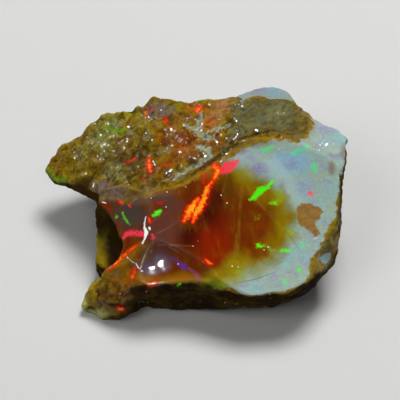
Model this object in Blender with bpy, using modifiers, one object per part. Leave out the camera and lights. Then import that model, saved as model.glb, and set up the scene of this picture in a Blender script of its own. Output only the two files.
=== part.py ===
"""Rough Ethiopian opal: one solid stone of overlapping angular blocks that shell-shaped fractures bite into.

The frame is in metres, +Z up, with the origin under the middle of the stone, on the surface that it rests on.
The big fracture with the amber core faces -Y. Corners, middles and radii below are in millimetres, in a frame
that the last step moves so that the origin lies under the middle.
"""

import bmesh
import bpy
from mathutils import Matrix, Vector, noise

MM = 0.001

# How far each block reaches below the resting surface before the flat is cut.
SUNK = -0.7

# Spare material above the front rim of the big fracture, which the fracture takes away.
SPARE = 1.6

# The front and right rim of the big fracture, from the right corner round to the left.
RIM = {
    "right_side": (14.2, -2.8, 8.9),
    "right_low": (13.4, -5.1, 7.9),
    "chipped_corner": (12.3, -7.7, 7.0),
    "front_right": (11.0, -10.8, 5.8),
    "front_middle": (9.1, -11.6, 5.4),
    "front_low": (4.3, -12.4, 5.2),
    "front_left": (1.9, -12.0, 5.5),
    "front_far_left": (-3.2, -10.9, 5.0),
    "front_end": (-5.8, -10.4, 3.5),
}

BODY = {
    "right_corner": (15.2, 4.0, 11.1),
    "right_edge": (15.1, 2.6, 10.8),
    # The ridge between the crust and the big fracture, left to right.
    "ridge_left": (-4.8, -3.0, 9.8),
    "ridge_middle": (-1.0, -1.2, 10.3),
    "ridge_centre": (2.3, 1.1, 11.1),
    "ridge_right": (6.6, 3.4, 11.8),
    "ridge_end": (10.8, 3.8, 11.8),
    # The back edge of the crust.
    "crust_back_left": (-4.6, 8.7, 11.2),
    "crust_back": (-0.5, 8.6, 11.5),
    "crust_back_right": (4.0, 9.3, 11.6),
    "crust_notch": (10.2, 7.6, 11.6),
    "crust_corner": (11.9, 6.6, 11.5),
    # The belly, from the left side round the front, the right and the back.
    "arch_shoulder": (-9.9, -1.8, 6.8),
    "hub": (-4.6, -7.5, 8.1),
    "cusp": (-8.4, -6.0, 6.2),
    "belly_left": (-10.0, -4.6, 3.2),
    "belly_left_back": (-9.9, 2.0, 3.4),
    "belly_front_left": (-5.0, -9.0, 2.0),
    "belly_front": (4.6, -10.4, 1.8),
    "belly_front_middle": (7.8, -10.1, 1.7),
    "belly_right_front": (11.2, -9.0, 2.3),
    "belly_right_low": (13.1, -7.7, 3.9),
    "belly_right": (14.0, -5.9, 4.9),
    "belly_right_side": (14.4, -1.0, 6.0),
    "belly_right_back": (13.0, 6.0, 5.5),
    "belly_back": (5.0, 10.2, 6.0),
    "belly_back_left": (-5.0, 10.0, 6.0),
    # The base.
    "base_left": (-9.8, -4.6, SUNK),
    "base_front_left": (-4.6, -8.4, SUNK),
    "base_front": (1.4, -6.8, SUNK),
    "base_front_middle": (7.6, -7.6, SUNK),
    "base_front_right": (10.6, -6.2, SUNK),
    "base_right": (11.8, -3.0, SUNK),
    "base_back_right": (9.5, 5.5, SUNK),
    "base_back": (0.0, 8.0, SUNK),
    "base_back_left": (-9.4, 4.6, SUNK),
}

LOBE = {
    # The wedge that reaches out to the left, with the crust on its upper side.
    "tip": (-15.5, 5.9, 4.5),
    "tip_under": (-14.9, 4.7, 4.2),
    "upper_edge": (-13.9, 7.7, 6.4),
    "upper_step": (-11.2, 8.2, 7.8),
    "upper_middle": (-10.2, 9.2, 8.3),
    "upper_inner": (-8.8, 9.8, 9.4),
    "shoulder": (-4.3, 9.0, 11.2),
    "arch": (-10.7, 0.8, 6.7),
    "ridge": (-4.8, -2.6, 9.4),
    "belly_tip": (-13.0, 7.0, 3.0),
    "belly_front": (-9.8, 5.0, 1.6),
    "belly_back": (-8.5, 8.8, 3.5),
    "inner_front": (-3.0, -1.0, 3.0),
    "inner_back": (-3.0, 8.0, 3.0),
}

FOOT = {
    # The low front-left spur, which runs down to the resting surface.
    "toe": (-11.1, -9.5, 0.9),
    "toe_front": (-8.8, -10.6, 0.5),
    "toe_inner": (-7.0, -10.7, 0.9),
    "heel": (-10.2, -7.6, 2.9),
    "fin": (-8.5, -7.9, 4.6),
    "fin_top": (-4.8, -7.3, 7.9),
    "toe_base": (-10.6, -9.3, SUNK),
    "toe_front_base": (-8.7, -10.3, SUNK),
    "inner_front_base": (-5.5, -9.0, SUNK),
    "slope_end": (-6.2, -10.5, 4.6),
    "inner_front": (-4.0, -9.8, 4.4),
    "inner_back": (-3.0, -5.0, 6.0),
    "heel_base": (-10.2, -6.5, SUNK),
    "inner_base": (-3.0, -6.0, SUNK),
}

KNOB = {
    # The lump of milky opal behind the crust.
    "left": (4.6, 10.4, 11.1),
    "top_left": (6.4, 11.3, 11.1),
    "top": (7.8, 11.6, 11.1),
    "top_right": (9.3, 11.2, 10.9),
    "right": (10.2, 9.9, 10.7),
    "front_left": (4.5, 7.0, 11.0),
    "front_right": (10.3, 6.5, 11.0),
    "low_left": (3.5, 10.4, 6.0),
    "low_middle": (7.4, 11.6, 6.5),
    "low_right": (11.2, 8.6, 6.0),
    "inner": (7.0, 4.0, 5.0),
}

PEAK = {
    # The small tooth on the back edge of the crust.
    "top": (-4.4, 9.1, 12.1),
    "top_right": (-2.7, 9.0, 11.9),
    "left": (-5.5, 8.6, 10.8),
    "right": (-0.8, 8.4, 11.5),
    "front": (-3.8, 6.4, 11.2),
    "back": (-4.0, 9.8, 9.5),
    "inner": (-4.0, 7.0, 8.0),
}

HOST_ROCK = {
    # The slab of host rock that stands proud at the right end of the crust.
    "back_left": (4.4, 9.4, 12.0),
    "back_right": (9.6, 8.6, 12.0),
    "right": (11.6, 6.2, 11.9),
    "front_right": (10.9, 4.6, 12.3),
    "front": (7.4, 4.3, 12.4),
    "front_left": (5.0, 4.2, 12.2),
    "left": (3.6, 6.6, 12.2),
    "root_left": (2.8, 3.6, 10.6),
    "root_front": (6.6, 3.3, 10.8),
    "root_right": (11.4, 3.7, 10.8),
    "root_end": (12.2, 6.4, 10.8),
    "root_back": (5.0, 9.4, 10.0),
    "root_back_right": (9.8, 8.4, 10.0),
}

BACK_LEDGE = {
    # A step of host rock half-way up the back.
    "left_top": (-8.4, 9.6, 7.0),
    "middle_top": (-5.0, 11.4, 7.4),
    "right_top": (-0.8, 11.7, 6.6),
    "right_low": (-1.6, 10.9, 3.4),
    "left_low": (-7.6, 9.2, 3.6),
    "inner_left": (-7.0, 6.0, 5.0),
    "inner_right": (-0.5, 6.0, 5.0),
    "inner_top": (-4.0, 8.0, 9.4),
}

# The face's left edge, from the back to the front, where a wedge is broken out of the stone below it: the bay.
BAY_EDGE = ((-10.8, 0.6, 6.7), (-9.8, -0.8, 6.4), (-8.7, -2.2, 6.4), (-7.8, -3.8, 6.3), (-7.2, -5.3, 6.2),
            (-7.0, -6.6, 6.0))
# How far the bay's wall leans in under the face for each millimetre down, and the heights that it runs between.
BAY_LEAN = 0.47
BAY_TOP = 9.5
BAY_LEDGE = 3.4

BAY_ENDS = {
    # The bay's corners away from the face: out to the left, and behind the foot's fin.
    "top_back_outer": (-18.0, -0.1, BAY_TOP),
    "top_front": (-8.6, -9.0, BAY_TOP),
    "top_front_outer": (-18.0, -9.0, BAY_TOP),
    "ledge_back_outer": (-18.0, 1.5, 2.4),
    "ledge_hub": (-6.5, -5.9, 3.6),
    "ledge_fin": (-8.6, -7.1, 2.7),
    "ledge_front": (-10.6, -8.3, 2.6),
    "ledge_front_outer": (-18.0, -8.3, 2.4),
}

ADDED_BLOCKS = {"lobe": LOBE, "foot": FOOT, "knob": KNOB, "peak": PEAK, "host_rock": HOST_ROCK,
                "back_ledge": BACK_LEDGE}

# Fractures: the ball or egg that each follows, as its middle and its radii.
FRESH_FRACTURES = {
    "big_fracture": ((6.4, -19.9, 44.5), (40.0, 40.0, 40.0)),
    "bowl": ((-2.2, -14.6, 12.9), (10.4, 9.0, 9.0)),
    "left_facet": ((-20.9, -10.9, 22.5), (22.0, 22.0, 22.0)),
    "corner_facet": ((17.6, 1.6, 35.8), (25.0, 25.0, 25.0)),
    "rim_chip": ((14.3, -8.6, 6.9), (2.6, 2.2, 2.4)),
    "low_chip": ((12.3, -11.4, 4.6), (1.9, 1.9, 1.9)),
}
OLD_FRACTURES = {
    "crust_dip": ((0.2, -11.3, 48.4), (28.0, 40.0, 40.0)),
    "front_hollow": ((-1.2, -19.4, 1.6), (9.8, 9.8, 9.8)),
    "back_dip": ((0.2, 17.6, 14.0), (9.0, 9.0, 9.0)),
    "back_hollow": ((-2.0, 24.5, 2.0), (15.0, 15.0, 10.0)),
    "right_hollow": ((25.5, 0.0, 0.5), (12.5, 12.5, 9.0)),
    "back_scar": ((12.6, 14.2, 3.2), (8.8, 8.8, 8.8)),
}

# Pairs of fractures that run into each other without a sharp edge, and how far from there the valley is soft.
SOFT_MEETINGS = (("big_fracture", "bowl"), ("big_fracture", "corner_facet"))
SOFT_REACH = 1.5
SOFT_PASSES = 90

# Milky lumps with a smooth skin, each as its middle and its radius.
SMOOTH_LUMPS = (((7.4, 11.2, 11.4), 3.0),)

# Faces are made even at this spacing before the crust is roughened, and thinned to this number afterwards.
VOXEL = 0.2
TRIANGLES = 9000

# Points this close to the resting flat lie on it.
SEATING = 0.04

# Relief of the weathered skin: lumps and pits, each as a height and a wavelength.
LUMPS = (0.32, 3.6)
GRAINS = (0.14, 1.1)
# How close to a fresh fracture the skin's relief fades out, and the share of it that remains there.
FADE = 0.45
FRESH_SHARE = 0.08


def shape_object(name, shape):
    """Turns a bmesh into an object in the collection of blocks and fractures."""
    mesh = bpy.data.meshes.new(name)
    shape.to_mesh(mesh)
    shape.free()
    made = bpy.data.objects.new(name, mesh)
    made.hide_render = True
    made.display_type = "WIRE"
    bpy.data.collections["blocks and fractures"].objects.link(made)
    return made


def block(name, corners):
    """An angular block: the convex hull of its named corners."""
    shape = bmesh.new()
    for corner in corners.values():
        shape.verts.new(Vector(corner) * MM)
    hull = bmesh.ops.convex_hull(shape, input=shape.verts)
    inside = set(hull["geom_interior"] + hull["geom_unused"])
    bmesh.ops.delete(shape, geom=list(inside), context="VERTS")
    bmesh.ops.recalc_face_normals(shape, faces=shape.faces)
    return shape_object(name, shape)


def bay_corners():
    """The bay's wedge: its top and ledge follow the face's left edge, and its wall leans in under the face."""
    corners = dict(BAY_ENDS)
    for index, at in enumerate(BAY_EDGE):
        along = Vector(BAY_EDGE[min(index + 1, len(BAY_EDGE) - 1)]) - Vector(BAY_EDGE[max(index - 1, 0)])
        inward = Vector((-along.y, along.x, 0.0)).normalized()
        outer = Vector(at) - inward * BAY_LEAN * (BAY_TOP - at[2])
        inner = Vector(at) + inward * BAY_LEAN * (at[2] - BAY_LEDGE)
        corners[f"top_{index}"] = (outer.x, outer.y, BAY_TOP)
        if at != BAY_EDGE[-1]:
            corners[f"ledge_{index}"] = (inner.x, inner.y, BAY_LEDGE)
    return corners


def egg(name, middle, radii):
    """The ball or egg whose surface a shell-shaped fracture follows."""
    shape = bmesh.new()
    bmesh.ops.create_icosphere(shape, subdivisions=5, radius=1.0)
    size = Matrix.Diagonal((*(Vector(radii) * MM), 1.0))
    shape.transform(Matrix.Translation(Vector(middle) * MM) @ size)
    return shape_object(name, shape)


def combine(stone, other, operation):
    modifier = stone.modifiers.new(other.name, "BOOLEAN")
    modifier.operation = operation
    modifier.solver = "EXACT"
    modifier.object = other


def evaluated_mesh(obj):
    graph = bpy.context.evaluated_depsgraph_get()
    return bpy.data.meshes.new_from_object(obj.evaluated_get(graph))


def raw_stone():
    """The body with its added blocks, bitten into by the bay and every fracture, with its faces made even."""
    raised = {f"raised_{name}": Vector(at) + Vector((0, 0, SPARE)) for name, at in RIM.items()}
    raw = block("body", BODY | RIM | raised)
    for name, corners in ADDED_BLOCKS.items():
        combine(raw, block(name, corners), "UNION")
    combine(raw, block("bay", bay_corners()), "DIFFERENCE")
    for name, (middle, radii) in (OLD_FRACTURES | FRESH_FRACTURES).items():
        combine(raw, egg(name, middle, radii), "DIFFERENCE")
    even = raw.modifiers.new("even faces", "REMESH")
    even.mode = "VOXEL"
    even.voxel_size = VOXEL * MM
    return evaluated_mesh(raw)


def off_fracture(at, middle, radii):
    """About how far a point lies from a fracture's surface, in millimetres."""
    reach = Vector((at[i] - middle[i]) / radii[i] for i in range(3)).length
    return abs(reach - 1.0) * min(radii)


def skin_share(at):
    """1 on the weathered skin, falling to FRESH_SHARE on a fresh fracture and on a smooth lump."""
    nearest = min(off_fracture(at, *fracture) for fracture in FRESH_FRACTURES.values())
    for middle, radius in SMOOTH_LUMPS:
        nearest = min(nearest, max(0.0, (at - Vector(middle)).length - radius))
    rise = min(1.0, nearest / FADE)
    return FRESH_SHARE + (1.0 - FRESH_SHARE) * rise * rise


def relief(at):
    """Height of the weathered skin's lumps, pits and grains at a point."""
    lump_height, lump_wave = LUMPS
    grain_height, grain_wave = GRAINS
    lumps = noise.fractal(at / lump_wave, 0.9, 2.1, 3)
    grains = noise.noise(at / grain_wave) - abs(noise.noise(at / grain_wave + Vector((7.3, 1.9, 4.1))))
    return lump_height * lumps + grain_height * grains


def soften_meetings(stone):
    """Rounds the valleys and swells where two fresh fractures run into each other."""
    group = stone.vertex_groups.new(name="soft meetings")
    for vert in stone.data.vertices:
        at = vert.co / MM
        weight = 0.0
        for names in SOFT_MEETINGS:
            away = max(off_fracture(at, *FRESH_FRACTURES[name]) for name in names)
            weight = max(weight, 1.0 - away / SOFT_REACH)
        if weight > 0.0:
            group.add([vert.index], min(1.0, 2.0 * weight), "REPLACE")
    softener = stone.modifiers.new("soft meetings", "SMOOTH")
    softener.vertex_group = group.name
    softener.factor = 0.5
    softener.iterations = SOFT_PASSES
    stone.data = evaluated_mesh(stone)
    stone.modifiers.clear()
    stone.vertex_groups.clear()


def weather(mesh):
    """Rounds the sharpest edges a little, then roughens the skin and leaves the fresh fractures smooth."""
    shape = bmesh.new()
    shape.from_mesh(mesh)
    for _ in range(2):
        bmesh.ops.smooth_vert(shape, verts=shape.verts, factor=0.5, use_axis_x=True, use_axis_y=True,
                              use_axis_z=True)
    shape.normal_update()
    moves = []
    for vert in shape.verts:
        at = vert.co / MM
        moves.append(vert.normal * (skin_share(at) * relief(at) * MM))
    for vert, move in zip(shape.verts, moves):
        vert.co += move
    shape.to_mesh(mesh)
    shape.free()


def thin(stone):
    """Thins the mesh to the wanted number of triangles."""
    thinner = stone.modifiers.new("thinner", "DECIMATE")
    thinner.ratio = TRIANGLES / (2 * len(stone.data.polygons))
    stone.data = evaluated_mesh(stone)
    stone.modifiers.clear()
    for vert in stone.data.vertices:
        if vert.co.z < SEATING * MM:
            vert.co.z = 0.0


def cut_flat(mesh):
    """Cuts the resting flat at height 0 and closes it."""
    shape = bmesh.new()
    shape.from_mesh(mesh)
    everything = shape.verts[:] + shape.edges[:] + shape.faces[:]
    bmesh.ops.bisect_plane(shape, geom=everything, dist=1e-7, plane_no=(0, 0, 1), clear_inner=True)
    edges = [edge for edge in shape.edges if edge.is_boundary]
    bmesh.ops.triangle_fill(shape, use_beauty=True, edges=edges, normal=(0, 0, -1))
    bmesh.ops.recalc_face_normals(shape, faces=shape.faces)
    shape.to_mesh(mesh)
    shape.free()


def centre(mesh):
    """Moves the stone so that the origin lies under the middle of its box, and gives the shift."""
    middle = [(min(v.co[i] for v in mesh.vertices) + max(v.co[i] for v in mesh.vertices)) / 2 for i in (0, 1)]
    shift = Vector((-middle[0], -middle[1], 0.0))
    mesh.transform(Matrix.Translation(shift))
    return shift


def opal_material():
    made = bpy.data.materials.new("rough opal")
    made.use_nodes = True
    shader = made.node_tree.nodes["Principled BSDF"]
    shader.inputs["Base Color"].default_value = (0.42, 0.27, 0.08, 1.0)
    shader.inputs["Roughness"].default_value = 0.3
    shader.inputs["Metallic"].default_value = 0.0
    return made


def main():
    for old in list(bpy.data.objects):
        bpy.data.objects.remove(old)
    for name in ("blocks and fractures", "rough opal"):
        bpy.context.scene.collection.children.link(bpy.data.collections.new(name))
    mesh = raw_stone()
    for used in list(bpy.data.collections["blocks and fractures"].objects):
        bpy.data.objects.remove(used)
    stone = bpy.data.objects.new("rough_opal", mesh)
    bpy.data.collections["rough opal"].objects.link(stone)
    soften_meetings(stone)
    weather(stone.data)
    cut_flat(stone.data)
    thin(stone)
    shift = centre(stone.data)
    stone.data.materials.append(opal_material())
    return shift


if __name__ == "__main__":
    main()
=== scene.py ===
"""Rough Ethiopian opal: one stone with a milky rim, an amber core and the host rock crust that it grew in.

Run as a script, this makes the stone and its stage. The stone is a fine copy of the solid. Its fresh
fractures are smoothed and rippled, its crust is roughened, and each zone of colour is stored on the mesh as
a named value that the material reads. The frame is the solid's own. Lengths are in millimetres, apart from
those of the stage.
"""

import math

import bmesh
import bpy
import numpy as np
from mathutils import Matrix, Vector, noise
from mathutils.bvhtree import BVHTree


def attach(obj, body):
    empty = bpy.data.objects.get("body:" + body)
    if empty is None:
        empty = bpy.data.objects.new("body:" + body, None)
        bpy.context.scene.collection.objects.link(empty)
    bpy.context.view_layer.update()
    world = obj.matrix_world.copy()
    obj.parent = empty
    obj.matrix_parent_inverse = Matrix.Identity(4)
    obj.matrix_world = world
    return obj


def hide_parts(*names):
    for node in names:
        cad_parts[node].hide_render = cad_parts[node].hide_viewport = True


bl_info = {
    "name": "Rough Opal",
    "version": (1, 0, 0),
    "blender": (4, 5, 0),
    "location": "View3D > Sidebar > Rough Opal",
    "description": "Makes a rough opal with an amber core, a milky rim and host rock crust",
    "category": "Object",
}

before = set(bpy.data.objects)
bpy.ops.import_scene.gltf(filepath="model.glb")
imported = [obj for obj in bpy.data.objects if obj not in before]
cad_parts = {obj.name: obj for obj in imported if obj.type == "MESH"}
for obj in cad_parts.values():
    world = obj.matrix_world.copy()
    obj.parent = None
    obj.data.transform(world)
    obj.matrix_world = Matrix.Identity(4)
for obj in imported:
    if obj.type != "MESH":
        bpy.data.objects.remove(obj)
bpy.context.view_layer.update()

MM = 0.001
NODE = "rough_opal"

# The view that the stone's marks are placed in: a camera over the front, and a square picture of 400 pixels.
PICTURE = 400
LENS_MM = 200.0
SENSOR_MM = 36.0
ELEVATION = 45.0
DISTANCE = 220.0
TARGET = np.array((0.62, 0.25, 6.2))
PIXELS_PER_MM = PICTURE * LENS_MM / SENSOR_MM / DISTANCE

# The fresh fractures: the middle and radii of the ball or egg that each follows.
FRACTURES = {
    "big fracture": ((6.52, -19.65, 44.5), (40.0, 40.0, 40.0)),
    "bowl": ((-2.08, -14.35, 12.9), (10.4, 9.0, 9.0)),
    "left facet": ((-20.78, -10.65, 22.5), (22.0, 22.0, 22.0)),
    "corner facet": ((17.72, 1.85, 35.8), (25.0, 25.0, 25.0)),
    "rim chip": ((14.42, -8.35, 6.9), (2.6, 2.2, 2.4)),
    "low chip": ((12.42, -11.15, 4.6), (1.9, 1.9, 1.9)),
}
SOFT_MEETINGS = (("big fracture", "bowl"), ("big fracture", "corner facet"))

# The milky knob at the back: its lump's middle and radii, and the arc in plan that the host rock ends on.
KNOB = ((7.5, 11.4, 11.4), (3.9, 4.2, 3.6))
KNOB_ARC = ((7.45, 6.4), 3.2)

# The bay is broken out under the left facet, behind a fin: a point on the fin, and its way out to the front.
FIN = ((-6.88, -7.65, 6.3), (0.60, -0.68, -0.42))

# The bay's other limits, each along an axis: where it has ended, and where it is whole.
BAY_LIMITS = ((0, -5.0, -6.0), (2, 2.1, 2.5), (1, 3.4, 2.4), (2, 7.5, 7.0))

# The bay darkens to the right and upwards in the picture: where that begins and ends, across and down.
BAY_SHADE = ((101, 114), (246, 218))

# The hub that the big fracture's ripples run out from.
HUB = np.array((-4.5, -7.3, 8.0))

# Points below this height belong to the flat that the stone rests on.
FLAT_TOP = 0.06

# The depth that stands for far outside a zone.
FAR = 9.0

NOISE_SEED = 2

# Near-black of the painted shade in the crust's pits.
PAINTED_PIT_SHADE = (0.006, 0.004, 0.001)
# Pale yellow of the painted glints on the crust.
PAINTED_GLINT_COLOUR = (0.6, 0.58, 0.45)
# Near-white of the painted highlights.
PAINTED_HIGHLIGHT_COLOUR = (0.95, 0.95, 0.92)
FLOOR_COLOUR = (0.55, 0.55, 0.54, 1.0)

# The stage, in metres and watts: each lamp's place, width and height, and power.
STAGE_MIDDLE = (0.0, 0.0, 0.006)
FLOOR_HALF = 0.6
SOFT_LAMPS = {
    "key lamp": ((0.08, 0.16, 0.38), (0.2, 0.2), 1.95),
    "fill lamp": ((-0.25, -0.2, 0.36), (0.3, 0.3), 0.68),
}
SPARKLE_LAMPS = {
    "left sparkle lamp": ((-0.19, 0.22, 0.27), (0.016, 0.016), 0.5),
    "right sparkle lamp": ((-0.1, 0.14, 0.36), (0.013, 0.013), 0.36),
}

# Small lamps, each placed by where its highlight shows in the picture, and how far from it they stand.
HIGHLIGHTS = {
    "left highlight": ((151, 268), (0.032, 0.006), 0.7),
    "right highlight": ((161, 263), (0.024, 0.075), 2.6),
}
HIGHLIGHT_REACH = 0.4

# Outlines, patches and strokes below are placed in the picture, in its pixels from the top left.
CRUST_OUTLINE = (
    (20, 60), (325, 60), (318, 112), (312, 118), (313, 128), (308, 136), (298, 142.5), (286, 140.5),
    (274, 138.5), (266, 142), (251, 146), (240, 150), (232, 157), (219, 161), (205, 174), (191, 182),
    (183, 186), (165, 190), (150, 197), (140, 198), (128, 203), (108, 198), (96, 203), (86, 192), (20, 192),
)
BARE_OUTLINES = (
    ((225, 162), (232, 157), (240, 150), (251, 146), (266, 142), (274, 138.5), (286, 140.5), (298, 142.5),
     (308, 136), (313, 128), (312, 118), (318, 112), (335, 118), (349, 138), (343, 174), (330, 178),
     (260, 172)),
    ((318, 255), (322, 250), (328, 249), (332, 252), (332, 258), (328, 263), (321, 264)),
    ((108, 270), (124, 256), (141, 243), (150, 255), (150, 272), (180, 280), (204, 284), (196, 289),
     (175, 285), (156, 287), (141, 288), (126, 284), (112, 281)),
)
CORE_OUTLINE = (
    (212, 158), (226, 163), (240, 170), (262, 179), (281, 193), (295, 214), (292, 236), (284, 250),
    (271, 261), (257, 268), (242, 275), (226, 284), (214, 296), (120, 330), (60, 300), (70, 180),
    (130, 160), (190, 150),
)
GLOW_OUTLINE = (
    (98, 279), (124, 257), (141, 244), (133, 258), (140, 272), (160, 278), (185, 273), (198, 276),
    (205, 284), (200, 296), (170, 296), (130, 300), (104, 290),
)
HOST_OUTLINE = (
    (231, 104), (242, 99), (258, 97), (280, 96), (290, 100), (298, 108), (311, 115), (314, 127), (307, 136),
    (297, 143), (288, 136), (274, 131), (256, 135), (242, 139), (230, 144), (219, 154), (226, 138),
    (231, 124),
)
FLANK_OUTLINE = (
    (349, 138), (343, 174), (339, 190), (335.5, 215), (324, 234), (321, 249), (311, 257), (309, 268),
    (307, 282), (300, 288), (306, 300), (336, 288), (352, 250), (362, 136),
)
STAIN_OUTLINE = (
    (296, 208), (301, 203), (311, 203.5), (319, 207), (323.5, 212), (320, 218), (315, 222), (317, 228),
    (320, 234), (316, 237), (310, 232), (303, 227), (299, 224), (297, 216),
)

# Patches are soft ovals: place, half-sizes, and strength.
PATCHES = {
    "ember": ((214, 245, 17, 20, 0.8), (207, 240, 9, 15, 0.5), (206, 259, 11, 7, 0.6),
              (222, 226, 9, 12, 0.4), (256, 224, 13, 9, 0.3), (260, 250, 12, 9, 0.3)),
    "maroon": ((205, 216, 18, 17, 1), (190, 234, 14, 14, 1), (214, 200, 12, 14, 0.8),
               (200, 250, 8, 8, 0.4)),
    "walnut": ((228, 188, 10, 16, 0.9), (254, 222, 12, 9, 0.6), (262, 254, 11, 8, 0.7),
               (272, 212, 7, 8, 0.4)),
    # Painted sheen: violet-grey patches that stand for light reflected off the glassy face.
    "sheen_veil": ((161, 228, 18, 20, 1), (156, 254, 15, 9, 1), (172, 206, 12, 9, 0.8)),
    "slate": ((129, 214, 17, 14, 1), (156, 198, 15, 5, 0.9)),
    "dim": ((144, 252, 7, 9, 0.9), (134, 262, 9, 8, 0.7), (122, 272, 9, 6, 0.5)),
    # Painted sheen around the two highlights in the bowl.
    "bowl_sheen": ((150, 268, 10, 7, 1), (161, 262, 9, 8, 0.9)),
    "sky": ((291, 163, 20, 12, 0.8), (304, 188, 11, 12, 0.4), (300, 255, 10, 12, 0.2),
            (274, 90, 11, 5, 0.9)),
    "lilac": ((259, 169, 10, 5, 1), (290, 165, 8, 6, 0.5), (245, 156, 8, 5, 0.5), (257, 89, 7, 5, 0.9),
              (305, 189, 8, 6, 0.4), (326, 127, 12, 7, 0.6), (312, 236, 8, 6, 0.3)),
    "lime": ((236, 267, 12, 12, 0.6), (228, 276, 18, 7, 0.8), (211, 285, 15, 7, 1), (244, 176, 9, 7, 0.7),
             (279, 196, 7, 9, 0.8), (291, 236, 6, 7, 0.6), (262, 270, 8, 4, 0.4), (282, 222, 6, 14, 0.4)),
    "blush": ((223, 106, 8, 7, 1), (216, 116, 7, 7, 0.7), (209, 122, 7, 7, 0.4)),
    "rust": ((178, 162, 22, 9, 0.6), (216, 141, 9, 10, 0.7), (177, 119, 16, 8, 0.6), (186, 145, 18, 17, 1),
             (209, 122, 9, 10, 0.9), (198, 107, 13, 7, 0.9), (160, 172, 18, 8, 0.5), (124, 288, 14, 9, 1),
             (163, 138, 9, 9, 0.8), (57, 164, 8, 7, 0.3), (171, 127, 9, 7, 0.5)),
    "straw": ((126, 112, 24, 7, 0.8), (60, 168, 12, 7, 0.3), (91, 292, 7, 7, 1), (80, 178, 16, 6, 0.3)),
    "dusk": ((122, 164, 26, 15, 1), (150, 152, 14, 9, 0.9), (177, 153, 9, 7, 0.7), (166, 140, 7, 6, 0.6),
             (90, 158, 9, 6, 0.5), (140, 176, 16, 7, 0.7), (176, 172, 12, 5, 0.6)),
    "flare": ((205, 172, 7, 9, 0.8), (197, 109, 9, 5, 0.8), (208, 123, 7, 7, 0.9), (171, 127, 6, 4, 0.4),
              (184, 150, 9, 6, 0.4), (129, 284, 11, 4, 0.5)),
    "lichen": ((103, 137, 12, 16, 1), (84, 150, 9, 7, 0.5), (112, 122, 10, 8, 1), (92, 146, 7, 8, 0.6),
               (116, 172, 10, 9, 0.6)),
    "tan": ((114, 191, 18, 6, 0.9), (138, 194, 14, 5, 0.7), (162, 192, 16, 4, 0.8), (221, 160, 9, 5, 0.9),
            (238, 150, 8, 4, 0.9), (281, 122, 7, 4, 0.9), (303, 127, 11, 11, 0.8), (255, 143, 16, 5, 0.8),
            (284, 137, 14, 5, 0.7), (332, 168, 3.5, 7, 1), (343, 151, 2.5, 8, 0.8)),
    "pale": ((131, 134, 6, 5, 0.9), (118, 124, 6, 4, 0.8), (81, 158, 6, 9, 0.3), (98, 142, 9, 7, 0.4),
             (171, 111, 5, 4, 0.8), (113, 172, 9, 8, 0.6), (165, 150, 6, 4, 0.6), (148, 136, 5, 5, 0.6),
             (120, 176, 5, 4, 0.7), (176, 176, 10, 5, 0.7), (278, 113, 9, 2.5, 0.8), (327, 257, 4, 4, 1),
             (323, 246, 2.5, 7, 0.5)),
    "heather": ((101, 187, 9, 6, 0.8), (114, 194, 13, 7, 0.9), (136, 200, 11, 5, 0.8), (157, 110, 12, 7, 1),
                (150, 191, 8, 5, 0.4)),
    # Green, partly a painted glow where light shines through thin edges, partly green patches of the crust.
    "green_glow_and_patch": ((44, 172, 6, 5, 1), (50, 178, 8, 4, 1), (60, 181, 10, 3, 1), (121, 131, 5, 3, 1),
             (112, 128, 8, 6, 0.4), (200, 99, 9, 2.5, 0.8), (214, 287, 11, 5, 0.9)),
    "flank": ((323, 244, 5, 12, 1), (325, 262, 6, 7, 1), (314, 265, 5, 7, 0.9)),
    "host end": ((302, 127, 8, 10, 1), (288, 134, 10, 4, 0.7)),
    "russet": ((104, 296, 11, 8, 1), (122, 297, 9, 7, 0.9), (113, 289, 9, 6, 0.8), (135, 293, 7, 4, 0.6)),
}
BONE_PATCHES = ((82, 304, 5, 11, 1), (94, 315, 13, 6, 1))
# Painted shade on the right flank, where it is seen edge on.
EDGE_ON_SHADE_PATCHES = ((345, 192, 7, 50, 1),)

# Strokes are chains of places with a half-width.
HAZE = (((238, 158, 2), (250, 154, 4), (262, 158, 4), (277, 168, 4), (289, 184, 3), (296, 200, 2),
         (300, 216, 1)),)
VEINS = (
    ((184, 125, 1.2), (192, 128, 2.4), (199, 131, 3), (205, 137, 3), (214, 138, 1.6)),
    ((202, 113, 1.4), (199, 121, 2.4), (198, 130, 2.4)),
    ((197, 146, 1.2), (204, 149, 2.4), (209, 152, 3.4), (211, 156, 2.6)),
    ((208, 156, 3), (202, 161, 2.4), (194, 166, 2.6), (188, 169, 1.4)),
    ((208, 133, 1.2), (214, 129, 2.2), (222, 128, 1.6), (230, 125, 0.8)),
    ((184, 172, 1.2), (174, 177, 1.4), (164, 181, 0.6)),
)
# Dark lines along the host rock's lower edge and the crust's edge: partly their own dark brown band, partly
# painted shadow under the step.
CREASE_BANDS_AND_SHADE = (
    ((230, 143, 0.8), (242, 138.5, 1.3), (256, 134, 1.2), (274, 130, 0.6)),
    ((242, 142, 1), (230, 149, 1.6), (219, 156, 1.8), (205, 166, 1.8), (191, 175, 1)),
)

SHARP_FIRES = ("red fire", "pink fire", "gold fire", "green fire")

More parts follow.
